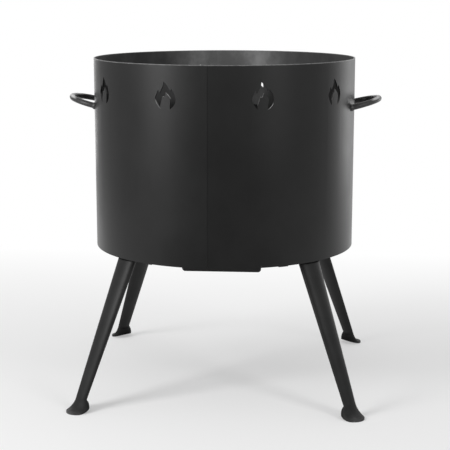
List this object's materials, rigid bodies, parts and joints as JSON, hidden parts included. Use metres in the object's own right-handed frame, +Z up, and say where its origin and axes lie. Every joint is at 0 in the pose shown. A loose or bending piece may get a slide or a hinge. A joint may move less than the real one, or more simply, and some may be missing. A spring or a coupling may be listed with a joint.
{
  "type": "cauldron stove",
  "caption": "Free-standing round steel fire stove for a hanging cauldron, with flame cut-outs, rod handles, leaning hoof-footed legs, a fire grate, an ash drawer and a rear feed door.",
  "frame": {"origin": "on the floor under the axis of the round wall", "axes": "+Z up, -Y to the front, +X to the right handle"},
  "size_m": [0.4826, 0.4344, 0.506],
  "materials": {
    "satin_black_paint": "satin black heat-proof paint",
    "cast_grate": "rough casting",
    "steel_fixings": "blackened steel"
  },
  "bodies": {
    "stove": {"body_shell": "satin_black_paint", "floor_plate": "satin_black_paint", "ash_chute": "satin_black_paint", "left_drawer_runner": "satin_black_paint", "right_drawer_runner": "satin_black_paint", "left_handle": "satin_black_paint", "right_handle": "satin_black_paint", "lower_hinge_bracket": "satin_black_paint", "upper_hinge_bracket": "satin_black_paint", "hinge_pins": "steel_fixings", "latch_keeper": "satin_black_paint", "leg_bolts": "steel_fixings", "leg_washers": "steel_fixings", "leg_nuts": "steel_fixings", "front_left_leg": "satin_black_paint", "front_right_leg": "satin_black_paint", "back_right_leg": "satin_black_paint", "back_left_leg": "satin_black_paint", "front_left_leg_socket": "satin_black_paint", "front_right_leg_socket": "satin_black_paint", "back_right_leg_socket": "satin_black_paint", "back_left_leg_socket": "satin_black_paint"},
    "grate": {"fire_grate": "cast_grate"},
    "drawer": {"ash_drawer": "satin_black_paint", "ash_drawer_front": "satin_black_paint"},
    "door": {"feed_door": "satin_black_paint", "lower_hinge_strap": "satin_black_paint", "upper_hinge_strap": "satin_black_paint", "strap_rivets": "steel_fixings", "latch_bolt": "steel_fixings", "latch_washer": "steel_fixings", "latch_nut": "steel_fixings"},
    "latch": {"turn_latch": "satin_black_paint"}
  },
  "joints": [
    {"name": "grate_lift", "type": "slide", "parent": "stove", "child": "grate", "axis": [0, 0, 1], "range_m": [0, 0.27]},
    {"name": "ash_drawer_slide", "type": "slide", "parent": "stove", "child": "drawer", "axis": [0, -1, 0], "range_m": [0, 0.17]},
    {"name": "feed_door_hinge", "type": "hinge", "parent": "stove", "child": "door", "pos_m": [0.09992, 0.1818, 0.35], "axis": [0, 0, -1], "range_deg": [0, 110]},
    {"name": "latch_turn", "type": "hinge", "parent": "door", "child": "latch", "pos_m": [-0.06267, 0.19245, 0.35], "axis": [-0.3096, 0.9509, 0], "range_deg": [0, 90]}
  ]
}
